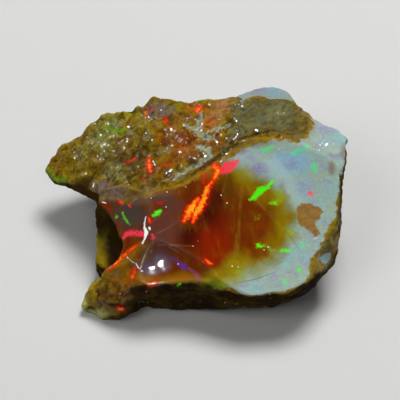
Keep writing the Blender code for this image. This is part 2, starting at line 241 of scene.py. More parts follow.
# The strokes of each kind of play of colour.
FIRE = {
    "faint fire": (
        ((126, 163, 1.4), (136, 158, 2)),
        ((158, 165, 1.4), (174, 164, 1.6)),
        ((143, 178, 1.2), (145, 181, 1)),
        ((157, 203, 1.4), (161, 202, 2.4)),
        ((225, 199, 1.2), (228, 200, 1)),
        ((106, 206, 1.2), (109, 209, 1.4)),
        ((203, 174, 2), (204, 183, 2.6)),
        ((150, 311, 0.9), (158, 309, 0.9)),
    ),
    "red fire": (
        ((215, 167, 3), (218, 170, 3.8), (216, 176, 2.8), (211, 183, 2.4), (207, 189, 2.6), (205, 196, 3.2),
         (202, 203, 4.2), (198, 210, 3.8), (195, 216, 2.8), (193, 222, 1.4)),
        ((199, 199, 2), (194, 204, 3.6), (190, 210, 4.8), (187, 216, 3.6), (184, 221, 1.6)),
        ((206, 260, 0.8), (209, 262, 1.8), (212, 264, 0.6)),
        ((149, 160, 1.4), (150, 170, 2)),
        ((149, 219, 1.4), (150, 221, 1.2)),
        ((135, 269, 1.5), (132, 278, 1.3)),
        ((148, 285, 0.8), (156, 282, 1.4)),
        ((119, 309, 1.6), (122, 309, 1.8)),
        ((165, 120, 1.3), (166, 121, 1.2)),
    ),
    "pink fire": (
        ((223, 170, 3.6), (227, 168, 5.4), (232, 165, 4.6), (237, 161, 1.6)),
        ((123, 238, 1.4), (126, 234, 2.2), (134, 233, 2.8), (143, 234, 3.2)),
        ((310, 193, 1.5), (313, 195, 1.5)),
        ((149, 108, 1.5), (151, 109, 1.5)),
        ((152, 235, 1.2), (153, 238, 1.1)),
    ),
    "gold fire": (
        ((217, 168, 1.3), (220, 169, 1.6)),
        ((141, 242, 0.3), (133, 248, 0.9), (124, 255, 1.7), (116, 263, 2), (108, 270, 1)),
        ((145, 112, 1.2), (146, 115, 1.3)),
        ((197, 110, 2.6), (200, 108, 1.8)),
        ((120, 201, 1.2), (122, 203, 1)),
        ((129, 205, 1), (130, 206, 1)),
    ),
    "green fire": (
        ((249, 200, 0.9), (254, 198, 2), (260, 191, 3.4), (267, 187, 2.2), (272, 182, 1.1),
         (275, 180, 0.5)),
        ((271, 203, 0.9), (276, 203, 1.4)),
        ((258, 246, 1.8), (261, 246, 1.8), (264, 246, 0.6)),
        ((282, 250, 1.3), (287, 251, 1.7), (291, 251, 1)),
        ((153, 216, 1.2), (157, 213, 2.2), (160, 211, 1.2)),
        ((299, 270, 1.8), (300, 271, 1.8)),
        ((123, 213, 0.4), (124, 216, 0.4)),
        ((125, 219, 0.8), (127, 222, 0.6), (129, 224, 0.3)),
        ((116, 216, 0.7), (116.5, 217, 0.7)),
        ((178, 285, 0.9), (180, 284, 0.9)),
    ),
    "violet fire": (
        ((179, 264, 1.3), (184, 267, 2.2)),
        ((172, 258, 0.5), (177, 261, 0.7)),
    ),
    "soft fire": (
        ((263, 151, 1.8), (268, 149, 2.6), (272, 147, 1.2)),
        ((291, 155, 1), (297, 152, 1.9), (304, 149, 1.6), (308, 146, 0.7)),
        ((314, 165, 2), (315, 170, 2)),
        ((284, 281, 1.6), (285, 284, 1.6)),
        ((301, 243, 1.2), (303, 246, 1.2)),
    ),
    "lime fire": (
        ((264, 246, 0.5), (269, 248, 0.5), (273, 252, 0.6), (282, 250, 0.7)),
        ((277, 192, 2), (280, 199, 2.6)),
        ((272, 203, 1.4), (278, 201, 2)),
        ((288, 234, 1.2), (294, 230, 2.4)),
        ((257, 218, 0.8), (259, 217, 0.8)),
        ((238, 272, 1.6), (241, 273, 1.4)),
    ),
}
THREADS = (
    ((243, 178, 0.1), (241, 195, 0.1), (239.5, 212, 0.2), (239, 230, 0.1), (238, 248, 0.2),
     (237, 266, 0.5)),
    ((237, 232, 0.1), (235, 250, 0.1), (233, 268, 0.3)),
    ((228, 168, 0.1), (226, 180, 0.1), (223, 192, 0.1)),
    ((235, 166, 0.1), (246, 184, 0.1), (256, 200, 0.1), (269, 214, 0.1), (280, 226, 0.2), (291, 238, 0.1)),
)
PLUM_TRAIL = (((188, 268, 0.3), (194, 272, 1), (198, 277, 1.4), (200, 283, 1.8)),)
HACKLES = (
    ((156, 234, 0.3), (168, 228, 0.4), (180, 220, 0.1)),
    ((157, 245, 0.2), (175, 245, 0.35), (192, 246, 0.1)),
    ((168, 246, 0.2), (178, 252, 0.35), (188, 259, 0.1)),
    ((152, 240, 0.2), (153, 250, 0.3), (150, 254, 0.1)),
    ((152, 222, 0.2), (160, 216, 0.3), (168, 212, 0.1)),
)
CRACKS = (
    ((238, 283, 0.1), (247, 281, 0.3), (256, 279, 0.35), (264, 276, 0.35), (273, 273, 0.1)),
    ((285, 231, 0.1), (291, 238, 0.25), (302, 253, 0.1)),
)
# Painted highlights: white strokes where lamp light glints on the hub's ridge, on crests and on edges.
PAINTED_HIGHLIGHTS = (
    ((146, 216, 0.3), (144.6, 223, 0.5), (144.6, 228, 1.2), (146.2, 232, 2), (145.6, 237, 1.1),
     (142.5, 243, 0.8)),
    ((149.4, 227.5, 0.8), (149.8, 229.5, 0.8)),
    ((127, 257, 0.3), (131, 261, 0.3), (135, 263, 0.3)),
    ((136, 263.5, 0.4), (138, 267, 0.8), (139.5, 269, 0.3)),
    ((141.5, 271, 0.6), (142.5, 271, 0.5)),
    ((327, 144, 1.1), (326, 145, 1.1)),
    ((94, 183, 0.3), (93, 187, 0.4)),
    ((102, 202, 0.4), (106, 203, 0.5)),
    ((153, 161, 0.3), (155, 165, 0.4)),
)
# Painted sparkles: single white spots that stand for small glints of lamp light.
PAINTED_SPARKLES = (
    (161, 110), (149, 137), (146, 133), (152, 140), (113, 151), (114, 151), (101, 154), (138, 153),
    (165, 151), (167, 148), (186, 142), (190, 157), (187, 138), (167, 192), (186, 187), (151, 198),
    (131, 137), (149, 121), (278, 113), (284, 113), (213, 128), (279, 149), (198, 241), (193, 246),
    (203, 262), (232, 266), (238, 267), (270, 212), (227, 203), (221, 195), (321, 216), (264, 250),
    (268, 247), (314, 239), (316, 238), (178, 264), (142, 301), (120, 294), (314, 145), (322, 143),
    (319, 150), (333, 144), (320, 145), (113, 232), (166, 207), (151, 251),
)


def tone(red, green, blue):
    """A colour for the shader, from the 0 to 255 values that a screen shows."""
    def linear(part):
        part /= 255.0
        return part / 12.92 if part <= 0.04045 else ((part + 0.055) / 1.055) ** 2.4
    return (linear(red), linear(green), linear(blue))


def colour(name, description, value):
    return bpy.props.FloatVectorProperty(name=name, description=description, subtype="COLOR", size=3, min=0.0,
                                         max=1.0, default=tone(*value))


class OpalSizes(bpy.types.PropertyGroup):
    """Sizes of the stone's mesh and relief."""

    spacing: bpy.props.FloatProperty(
        name="Mesh spacing", description="Spacing of the fine mesh", default=0.175 * MM, min=0.1 * MM,
        max=0.6 * MM, precision=5, subtype="DISTANCE", unit="LENGTH")
    crust_relief: bpy.props.FloatProperty(
        name="Crust relief", description="Height of the crust's grains", default=0.19 * MM, min=0.0,
        max=0.4 * MM, precision=5, subtype="DISTANCE", unit="LENGTH")
    ripple: bpy.props.FloatProperty(
        name="Ripple height", description="Height of the ripples on the fresh fractures", default=0.009 * MM,
        min=0.0, max=0.1 * MM, precision=5, subtype="DISTANCE", unit="LENGTH")


class OpalColours(bpy.types.PropertyGroup):
    """Colours of the stone's zones."""

    milk: colour("Milky rim", "Milky opal of the rim", (146, 164, 146))
    sky: colour("Blue milk", "Milky opal where it scatters blue", (122, 168, 192))
    mint: colour("Green milk", "Milky opal where it scatters green", (130, 176, 160))
    lilac: colour("Lilac milk", "Milky opal where it scatters violet", (136, 130, 168))
    fringe: colour("Fringe", "Muted olive where the core turns into milk", (124, 122, 58))
    lime: colour("Lime", "Yellow-green parts of the core", (148, 142, 10))
    honey: colour("Honey", "Outer part of the amber core", (130, 98, 6))
    amber: colour("Amber", "Inner part of the amber core", (106, 44, 2))
    ember: colour("Ember", "Glowing red part of the amber core", (134, 24, 1))
    maroon: colour("Maroon", "Dark red-brown parts of the core", (66, 16, 4))
    walnut: colour("Walnut", "Dark olive-brown parts of the core", (92, 54, 4))
    # A painted sheen of reflected light over the left of the core.
    sheen_veil: colour("Violet-grey veil", "Haze over the left of the core", (90, 54, 44))
    slate: colour("Blue-grey haze", "Haze over the left facet", (74, 66, 58))
    dim: colour("Dim slope", "Dark olive beside the hub", (100, 80, 16))
    plum: colour("Plum trail", "Soft violet-pink trail in the bowl's rim", (162, 78, 128))
    # A painted sheen of reflected light around the bowl's highlights.
    bowl_sheen: colour("Indigo haze", "Violet-blue haze in the bowl", (92, 78, 100))
    glow: colour("Golden slope", "Thin amber along the front rim", (158, 106, 12))
    thread: colour("Threads", "Fine golden threads in the core", (156, 116, 26))
    hackle: colour("Hackles", "Fine pale lines that fan out from the hub", (140, 98, 78))
    olive: colour("Olive crust", "Olive-gold crust", (122, 94, 2))
    straw: colour("Straw crust", "Light grains of the crust", (146, 130, 18))
    bark: colour("Brown crust", "Brown parts of the crust", (80, 56, 3))
    rust: colour("Rusty crust", "Red-brown parts of the crust", (128, 64, 3))
    flare: colour("Orange glow", "Orange light inside the crust", (176, 88, 10))
    lichen: colour("Grey-green crust", "Pale grey-green patches of the crust", (118, 122, 48))
    tan: colour("Tan crust", "Tan border of the crust", (122, 88, 50))
    host: colour("Host rock", "Grey-green host rock", (98, 100, 68))
    sand: colour("Light veins", "Light grey veins and lumps in the crust", (136, 130, 88))
    heather: colour("Violet lumps", "Violet-grey lumps in the crust", (112, 98, 96))
    blush: colour("Pink-orange patch", "Pink-orange patch of the crust", (164, 112, 70))
    # Partly a painted glow along thin edges, partly green patches of the crust.
    green_glow_and_patch: colour("Green glow", "Green glow along thin edges", (96, 142, 8))
    russet: colour("Russet", "Dark red-brown of the foot", (84, 40, 2))
    # Umber is also painted as shade on the underside, the walls and the bay.
    umber_and_shade: colour("Umber", "Dark underside and hollow", (26, 13, 2))
    cream: colour("Cream", "Whitish milk", (172, 196, 196))
    pearl: colour("Pearl", "Grey milk of the knob", (112, 116, 112))
    bone: colour("Bone", "Worn tip of the foot", (172, 176, 104))
    stain: colour("Iron stain", "Brown stain on the milky rim", (148, 102, 3))
    red_fire: colour("Red fire", "Red play of colour", (255, 38, 10))
    orange_fire: colour("Orange fire", "Orange grains in the red fire", (255, 172, 28))
    deep_fire: colour("Deep fire", "Dark red glow around the red fire", (150, 26, 3))
    pink_fire: colour("Pink fire", "Pink play of colour", (252, 62, 84))
    green_fire: colour("Green fire", "Green play of colour", (52, 250, 24))
    violet_fire: colour("Violet fire", "Violet play of colour", (104, 42, 196))
    soft_fire: colour("Mint fire", "Pale green play of colour in the milk", (60, 226, 124))
    lime_fire: colour("Lime fire", "Yellow-green play of colour", (124, 190, 30))


def smooth_step(low, high, value):
    share = np.clip((value - low) / (high - low), 0.0, 1.0)
    return share * share * (3.0 - 2.0 * share)


def view_axes():
    """The picture's right, up and towards-the-camera directions."""
    lean = math.radians(ELEVATION)
    back = np.array((0.0, -math.cos(lean), math.sin(lean)))
    right = np.array((1.0, 0.0, 0.0))
    return right, np.cross(back, right), back


def picture_place(points):
    """Where points in millimetres show in the picture."""
    right, up, back = view_axes()
    away = points - (TARGET + back * DISTANCE)
    pixels = PICTURE * LENS_MM / SENSOR_MM / -(away @ back)
    return PICTURE / 2 + pixels * (away @ right), PICTURE / 2 - pixels * (away @ up)


def from_fracture(points, name):
    """About how far points lie outside a fracture's ball or egg."""
    middle, radii = FRACTURES[name]
    reach = np.linalg.norm((points - np.array(middle)) / np.array(radii), axis=1)
    return (reach - 1.0) * min(radii)


def blots(across, down, patches, soft=0.6):
    """1 inside soft ovals in the picture, falling to 0 outside them."""
    most = np.zeros(len(across))
    for x, y, half_across, half_down, strength in patches:
        reach = np.hypot((across - x) / half_across, (down - y) / half_down)
        most = np.maximum(most, strength * (1.0 - smooth_step(1.0 - soft, 1.0 + soft, reach)))
    return most


def stroke_gap(across, down, strokes):
    """Millimetres from the nearest stroke's edge, below 0 inside it."""
    nearest = np.full(len(across), 99.0)
    for stroke in strokes:
        for (x0, y0, w0), (x1, y1, w1) in zip(stroke, stroke[1:]):
            run = np.array((x1 - x0, y1 - y0), float)
            share = ((across - x0) * run[0] + (down - y0) * run[1]) / (run @ run)
            share = np.clip(share, 0.0, 1.0)
            gap = np.hypot(across - x0 - share * run[0], down - y0 - share * run[1])
            nearest = np.minimum(nearest, (gap - w0 - share * (w1 - w0)) / PIXELS_PER_MM)
    return nearest


def outline_depth(across, down, corners):
    """Millimetres inside a closed outline, below 0 outside it."""
    nearest = np.full(len(across), 1e9)
    inside = np.zeros(len(across), bool)
    for (x0, y0), (x1, y1) in zip(corners, corners[1:] + corners[:1]):
        run = np.array((x1 - x0, y1 - y0), float)
        share = np.clip(((across - x0) * run[0] + (down - y0) * run[1]) / (run @ run), 0.0, 1.0)
        nearest = np.minimum(nearest, np.hypot(across - x0 - share * run[0], down - y0 - share * run[1]))
        crosses = (y0 > down) != (y1 > down)
        with np.errstate(divide="ignore", invalid="ignore"):
            inside ^= crosses & (across < (x1 - x0) * (down - y0) / (y1 - y0) + x0)
    return np.where(inside, nearest, -nearest) / PIXELS_PER_MM


def fine_copy(name, spacing):
    """An even, fine mesh of the solid, as a new object."""
    rough = bpy.data.objects.new(name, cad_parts[NODE].data.copy())
    bpy.context.scene.collection.objects.link(rough)
    remesh = rough.modifiers.new("fine", "REMESH")
    remesh.mode = "VOXEL"
    remesh.voxel_size = spacing
    graph = bpy.context.evaluated_depsgraph_get()
    rough.data = bpy.data.meshes.new_from_object(rough.evaluated_get(graph))
    rough.modifiers.clear()
    rough.data.materials.clear()
    return rough


class Skin:
    """The stone's surface as arrays, in millimetres."""

    def __init__(self, mesh):
        self.mesh = mesh
        count = len(mesh.vertices)
        points = np.empty(count * 3)
        mesh.vertices.foreach_get("co", points)
        self.points = points.reshape(-1, 3) / MM
        edges = np.empty(len(mesh.edges) * 2, np.int32)
        mesh.edges.foreach_get("vertices", edges)
        self.first, self.second = edges.reshape(-1, 2).T
        self.neighbours = np.bincount(edges, minlength=count).astype(float)
        self.flat = self.points[:, 2] < FLAT_TOP

    def spread(self, values, passes, share=0.5):
        """Evens out a value over neighbouring points."""
        values = values.astype(float)
        count = len(self.points)
        columns = values.reshape(count, -1)
        for _ in range(passes):
            for column in range(columns.shape[1]):
                held = columns[:, column]
                total = np.bincount(self.first, held[self.second], count)
                total += np.bincount(self.second, held[self.first], count)
                columns[:, column] = held + share * (total / self.neighbours - held)
        return columns.reshape(values.shape)

    def smooth(self, weight, passes):
        """Smooths the shape where weight is 1."""
        for _ in range(passes):
            moved = self.spread(self.points.copy(), 1)
            self.points += (moved - self.points) * weight[:, None]
        self.seat()

    def seat(self):
        """Keeps the resting flat flat."""
        self.points[self.flat, 2] = 0.0
        self.points[:, 2] = np.maximum(self.points[:, 2], 0.0)

    def normals(self):
        self.mesh.vertices.foreach_set("co", (self.points * MM).ravel())
        self.mesh.update()
        found = np.empty(len(self.points) * 3)
        self.mesh.vertices.foreach_get("normal", found)
        return found.reshape(-1, 3)

    def store(self, name, values):
        layer = self.mesh.attributes.get(name) or self.mesh.attributes.new(name, "FLOAT", "POINT")
        layer.data.foreach_set("value", values.astype(np.float32))

    def read(self, name):
        values = np.empty(len(self.points), np.float32)
        self.mesh.attributes[name].data.foreach_get("value", values)
        return values.astype(float)


def fresh_share(skin, normals):
    """1 on the fresh fractures, 0 on the crust."""
    share = np.zeros(len(skin.points))
    for name, (middle, radii) in FRACTURES.items():
        gap = np.abs(from_fracture(skin.points, name))
        inward = (np.array(middle) - skin.points) / np.array(radii) ** 2
        inward /= np.linalg.norm(inward, axis=1)[:, None]
        facing = np.einsum("ij,ij->i", inward, normals)
        share = np.maximum(share, smooth_step(0.3, 0.12, gap) * smooth_step(0.7, 0.9, facing))
    for meeting in SOFT_MEETINGS:
        gap = np.max([np.abs(from_fracture(skin.points, name)) for name in meeting], axis=0)
        share = np.maximum(share, smooth_step(0.9, 0.6, gap) * smooth_step(0.6, 0.8, normals[:, 2]))
    return share


def knob_depth(points):
    """About how far points lie inside the milky knob, below 0 outside it."""
    lump = np.linalg.norm((points - np.array(KNOB[0])) / np.array(KNOB[1]), axis=1)
    middle, radius = KNOB_ARC
    beyond = np.hypot(points[:, 0] - middle[0], points[:, 1] - middle[1]) - radius
    return np.minimum((1.0 - lump) * min(KNOB[1]), beyond)


def settle_on_fractures(skin, fresh):
    """Lays the fresh skin exactly on its fractures' balls, where it is already close to one."""
    for name, (middle, radii) in FRACTURES.items():
        gap = from_fracture(skin.points, name)
        outward = (skin.points - np.array(middle)) / np.array(radii) ** 2
        outward /= np.linalg.norm(outward, axis=1)[:, None]
        weight = smooth_step(0.2, 0.08, np.abs(gap)) * fresh
        skin.points -= outward * (gap * weight)[:, None]


def domes(place):
    """Rounded grains with narrow gaps between them."""
    near = noise.voronoi(place)[0]
    return min(1.0, 1.6 * (near[1] - near[0])) - 0.55


def relief(skin, crust, normals, sizes):
    """Lumps, grains and pits on the crust, and faint ripples on the fresh fractures."""
    noise.seed_set(NOISE_SEED)
    heights = np.empty(len(skin.points))
    grain = sizes.crust_relief / MM
    ripple = sizes.ripple / MM
    for index, (point, share) in enumerate(zip(skin.points, crust)):
        at = Vector(point)
        height = 0.0
        if share > 0.02:
            warped = at + noise.noise_vector(at / 1.1) * 0.35
            lumps = 1.3 * noise.noise(at / 1.9) + 0.6 * noise.noise(at / 0.8) + 0.2 * noise.noise(at / 0.35)
            grains = 0.6 * domes(warped / 1.2) + 0.25 * domes(warped / 0.6 + Vector((3.0, 7.0, 1.0)))
            pits = max(0.0, noise.noise(at / 1.0 + Vector((5.1, 2.2, 8.4))) - 0.15)
            height += share * grain * (lumps + grains - 1.6 * pits)
        if share < 0.98:
            away = np.linalg.norm(point - HUB)
            swell = noise.noise(at / 2.6 + Vector((1.7, 9.1, 3.3)))
            wave = math.sin(5.0 * away + 4.0 * swell) * math.exp(-away / 6.0)
            height += (1.0 - share) * ripple * (swell + 0.8 * wave)
        heights[index] = height
    skin.points += normals * heights[:, None]
    skin.seat()


def painted_sparkles(half_width):
    """The painted sparkles, as very short strokes."""
    return tuple(((x, y, half_width), (x + 0.1, y, half_width)) for x, y in PAINTED_SPARKLES)


def refine(mesh):
    """Splits the faces near fine marks, so that thin lines, painted highlights and painted sparkles stay
    sharp.
    """
    marks = PAINTED_HIGHLIGHTS + CRACKS + painted_sparkles(0.3) + sum((FIRE[name] for name in SHARP_FIRES), ())
    for reach in (0.22, 0.1):
        solid = bmesh.new()
        solid.from_mesh(mesh)
        points = np.array([vertex.co for vertex in solid.verts]) / MM
        facing = np.array([vertex.normal for vertex in solid.verts]) @ view_axes()[2]
        near = (np.abs(stroke_gap(*picture_place(points), marks)) < reach) & (facing > 0.1)
        edges = [edge for edge in solid.edges if near[edge.verts[0].index] and near[edge.verts[1].index]]
        bmesh.ops.subdivide_edges(solid, edges=edges, cuts=1, use_grid_fill=True)
        solid.to_mesh(mesh)
        solid.free()
        mesh.update()


def store_zones(skin, normals, crust):
    """Names the stone's zones on its mesh, so that the material can colour them."""
    points = skin.points
    across, down = picture_place(points)
    broad = skin.spread(normals.copy(), 12)
    broad /= np.linalg.norm(broad, axis=1)[:, None]
    front = smooth_step(-0.05, 0.2, broad @ view_axes()[2])
    seen = front * smooth_step(0.2, 0.4, broad[:, 2])

    covered = outline_depth(across, down, CRUST_OUTLINE) - FAR * (1.0 - seen)
    bare = np.max([outline_depth(across, down, outline) for outline in BARE_OUTLINES], axis=0)
    bare -= FAR * (1.0 - seen)
    flank = outline_depth(across, down, FLANK_OUTLINE) - FAR * (1.0 - front)
    crust = np.minimum(np.maximum.reduce([(crust - 0.5) * 0.8, covered, flank]), -bare)
    skin.store("crust", np.clip(crust, -2.0, 2.0))

    depth = np.clip(outline_depth(across, down, CORE_OUTLINE), -4.0, 8.0)
    skin.store("core", depth * front - 4.0 * (1.0 - front))
    host = np.clip(outline_depth(across, down, HOST_OUTLINE), -3.0, 3.0)
    skin.store("host", host * front - 3.0 * (1.0 - front))
    skin.store("glow", smooth_step(-0.6, 0.6, outline_depth(across, down, GLOW_OUTLINE)) * front)
    rim = smooth_step(-0.45, -0.1, broad @ view_axes()[2])
    for name, patches in PATCHES.items():
        skin.store(name, blots(across, down, patches) * (rim if name == "green_glow_and_patch" else front))
    skin.store("stain", np.where(front > 0.3, -outline_depth(across, down, STAIN_OUTLINE), FAR))

    behind_fin = (points - np.array(FIN[0])) @ np.array(FIN[1])
    bay = smooth_step(0.15, 0.45, from_fracture(points, "left facet")) * smooth_step(0.1, -0.2, behind_fin)
    for axis, ended, whole in BAY_LIMITS:
        bay *= smooth_step(ended, whole, points[:, axis])
    skin.store("bay", bay)
    shade = [smooth_step(*span, place) for span, place in zip(BAY_SHADE, (across, down))]
    skin.store("bay shade", np.maximum(*shade))

    # Painted shade: darker on faces turned down, on the front wall and on the right wall, less on the flank's
    # chips and the foot's tip.
    under = smooth_step(0.25, -0.2, broad[:, 2])
    front_wall_shade = smooth_step(0.35, 0.05, broad[:, 2]) * smooth_step(-0.2, -0.5, broad[:, 1])
    right_wall_shade = smooth_step(0.35, 0.1, broad[:, 2]) * smooth_step(0.3, 0.6, broad[:, 0])
    dark = np.maximum.reduce([0.8 * under, front_wall_shade, 0.75 * right_wall_shade])
    bone = blots(across, down, BONE_PATCHES, 0.5) * rim
    dark = dark * (1.0 - 0.9 * skin.read("flank")) * (1.0 - 0.9 * bone)
    edge_on_shade = blots(across, down, EDGE_ON_SHADE_PATCHES) * rim
    skin.store("bone", bone)
    skin.store("umber_and_shade", np.clip(np.maximum(dark, edge_on_shade), 0.0, 1.0))

    skin.store("cream", np.clip(knob_depth(points), -2.0, 2.0))
    skin.store("hidden", 1.0 - rim)

    # Each kind of mark's gap from its strokes; the painted highlights and the painted sparkles share one.
    marks = FIRE | {
        "thread": THREADS, "hackle": HACKLES, "plum": PLUM_TRAIL, "crack": CRACKS, "crease_band_and_shade": CREASE_BANDS_AND_SHADE,
        "vein": VEINS, "haze": HAZE, "painted_highlight": PAINTED_HIGHLIGHTS + painted_sparkles(0.4)}
    for name, strokes in marks.items():
        skin.store(name, np.where((front > 0.3) & (bay < 0.3), stroke_gap(across, down, strokes), FAR))


def store_edges(skin):
    """Stores how far each point stands proud of, or lies in, the skin around it."""
    normals = skin.normals()
    for name, passes in (("fine edge", 4), ("broad edge", 40)):
        around = skin.spread(skin.points.copy(), passes)
        skin.store(name, np.einsum("ij,ij->i", skin.points - around, normals))


class Value:
    """A number, place or colour that a shader works out. Sums with numbers add the nodes that they need."""

    def __init__(self, tree, socket):
        self.tree = tree
        self.socket = socket

    def __add__(self, other):
        return sums("ADD", self, other)

    def __sub__(self, other):
        return sums("SUBTRACT", self, other)

    def __rsub__(self, other):
        return sums("SUBTRACT", other, self)

    def __mul__(self, other):
        return sums("MULTIPLY", self, other)

    def __rtruediv__(self, other):
        return sums("DIVIDE", other, self)

    def beside(self, name):
        """Another output of the same node."""
        return Value(self.tree, self.socket.node.outputs[name])

    def ramp(self, low, high, to_low=0.0, to_high=1.0):
        """Runs smoothly from to_low to to_high while this goes from low to high."""
        if high < low:
            low, high, to_low, to_high = high, low, to_high, to_low
        limits = {"Value": self, "From Min": low, "From Max": high, "To Min": to_low, "To Max": to_high}
        return put(self.tree, "MapRange", "Result", limits, interpolation_type="SMOOTHSTEP")


def feed(node, name, value):
    """Links a value to a node's socket, or sets it there."""
    if isinstance(value, Value):
        value.tree.links.new(value.socket, node.inputs[name])
    else:
        node.inputs[name].default_value = value


def put(tree, kind, output, inputs=None, **settings):
    """Adds a shader node with its settings and inputs, and gives one of its outputs."""
    node = tree.nodes.new("ShaderNode" + kind)
    for name, value in settings.items():
        setattr(node, name, value)
    for name, value in (inputs or {}).items():
        feed(node, name, value)
    return Value(tree, node.outputs[output])


def sums(operation, first, second, clamp=False):
    tree = first.tree if isinstance(first, Value) else second.tree
    return put(tree, "Math", 0, {0: first, 1: second}, operation=operation, use_clamp=clamp)


class Paint:
    """Adds the stone's colours to its material. A colour of the add-on goes by its name."""

    def __init__(self, tree, tones):
        self.tree = tree
        self.tones = tones
        here = put(tree, "TexCoord", "Object")
        self.place = put(tree, "VectorMath", 0, {0: here, "Scale": 1.0 / MM}, operation="SCALE")

    def zone(self, name):
        return put(self.tree, "Attribute", "Fac", attribute_name=name, attribute_type="GEOMETRY")

    def stretched(self, degrees, scale):
        """The place, drawn out so that noise runs in streaks."""
        turn = (0.0, 0.0, math.radians(degrees))
        return put(self.tree, "Mapping", "Vector", {"Vector": self.place, "Rotation": turn, "Scale": scale},
                   vector_type="TEXTURE")

    def cloud(self, size, detail=2.0, rough=0.5, twist=0.0, shift=0.0, place=None):
        """Noise with features about size millimetres across."""
        place = place or self.place
        if shift:
            away = (shift, -shift, 0.6 * shift)
            place = put(self.tree, "VectorMath", 0, {0: place, 1: away}, operation="ADD")
        return put(self.tree, "TexNoise", "Fac", {
            "Vector": place, "Scale": 1.0 / size, "Detail": detail, "Roughness": rough, "Distortion": twist})

    def tint(self, given):
        if isinstance(given, Value):
            return given
        if isinstance(given, str):
            given = getattr(self.tones, given)
        return (*given, 1.0)

    def blend(self, share, first, second):
        """Mixes two colours."""
        colours = {0: share, 6: self.tint(first), 7: self.tint(second)}
        return put(self.tree, "Mix", 2, colours, data_type="RGBA")

    def over(self, under, *layers):
        """Lays colours over another, each with its share."""
        for tint, share in layers:
            under = self.blend(share, under, tint)
        return under

    def zones(self, under, *layers):
        """Lays zones over a colour, each in the colour of its own name and with its share."""
        for name, share in layers:
            under = self.blend(self.zone(name) * share, under, name)
        return under


def new_group(name, inputs):
    """An empty shader node group and its named inputs."""
    group = bpy.data.node_groups.new(name, "ShaderNodeTree")
    for label, value in inputs.items():
        kind = "NodeSocketVector" if value is None else "NodeSocketFloat"
        socket = group.interface.new_socket(label, in_out="INPUT", socket_type=kind)
        if value is not None:
            socket.default_value = value
    entry = group.nodes.new("NodeGroupInput")
    return group, [Value(group, entry.outputs[label]) for label in inputs]


def give(group, results):
    """Gives a node group its named outputs."""
    for label in results:
        group.interface.new_socket(label, in_out="OUTPUT", socket_type="NodeSocketFloat")
    end = group.nodes.new("NodeGroupOutput")
    for label, value in results.items():
        feed(end, label, value)
    return group


def fire_group():
    """Breaks a stroke's smooth edge into the grains that a play of colour shows."""
    group, (place, gap, size, ragged, soft) = new_group(
        "Opal fire", {"Place": None, "Gap": 1.0, "Grain Size": 0.3, "Ragged": 0.2, "Soft": 0.07})
    scale = 1.0 / size
    cells = put(group, "TexVoronoi", "Color", {"Vector": place, "Scale": scale, "Randomness": 1.0})
    shade = put(group, "SeparateColor", 0, {"Color": cells})
    fine = put(group, "TexNoise", "Fac", {"Vector": place, "Scale": scale * 1.7, "Detail": 2.0})
    torn = (shade - 0.5) + (fine - 0.5)
    edge = put(group, "MapRange", "Result",
               {"Value": gap + torn * ragged, "From Min": soft, "From Max": soft * -1.0},
               interpolation_type="SMOOTHSTEP")
    return give(group, {"Mask": edge * shade.ramp(0.0, 0.3, 0.7, 1.0),
                        "Heart": (gap + torn * 0.3).ramp(-0.06, -0.34)})


def grain_group():
    """Sugary grains with dark gaps, and a few bright grains that are painted glints of light."""
    group, (place, size) = new_group("Crust grain", {"Place": None, "Size": 0.5})
    scale = 1.0 / size
    cells = put(group, "TexVoronoi", "Distance", {"Vector": place, "Scale": scale, "Randomness": 1.0})
    shade = put(group, "SeparateColor", 1, {"Color": cells.beside("Color")})
    fine = put(group, "TexNoise", "Fac",
               {"Vector": place, "Scale": scale * 2.0, "Detail": 3.0, "Roughness": 0.6})
    return give(group, {"Height": cells.ramp(0.75, 0.0) * 0.6 + fine * 0.6,
                        "Painted Glints": shade.ramp(0.95, 0.96) * cells.ramp(0.26, 0.16)})


def milk_colours(paint):
    """Pearly milk: grey-white with soft blue, green and lilac clouds."""
    milk = paint.over(
        "milk",
        ("sky", paint.cloud(2.2, 3.0, shift=11.0).ramp(0.45, 0.68, 0.0, 0.5)),
        ("mint", paint.cloud(1.2, 3.0, shift=19.0).ramp(0.5, 0.7, 0.0, 0.6)),
        ("lilac", paint.cloud(1.0, 3.0, shift=23.0).ramp(0.5, 0.72, 0.0, 0.6)))
    milk = paint.zones(milk, ("sky", 1.0), ("lilac", 1.0))
    band = paint.zone("haze") + paint.cloud(1.6, 3.0, shift=25.0).ramp(0.3, 0.7, -0.5, 0.5)
    speckle = paint.cloud(0.3, 4.0, 0.7, shift=27.0).ramp(0.4, 0.7, 0.0, 0.35)
    return paint.over(milk, ("cream", band.ramp(1.0, -0.6, 0.0, 0.5)), ("cream", speckle))


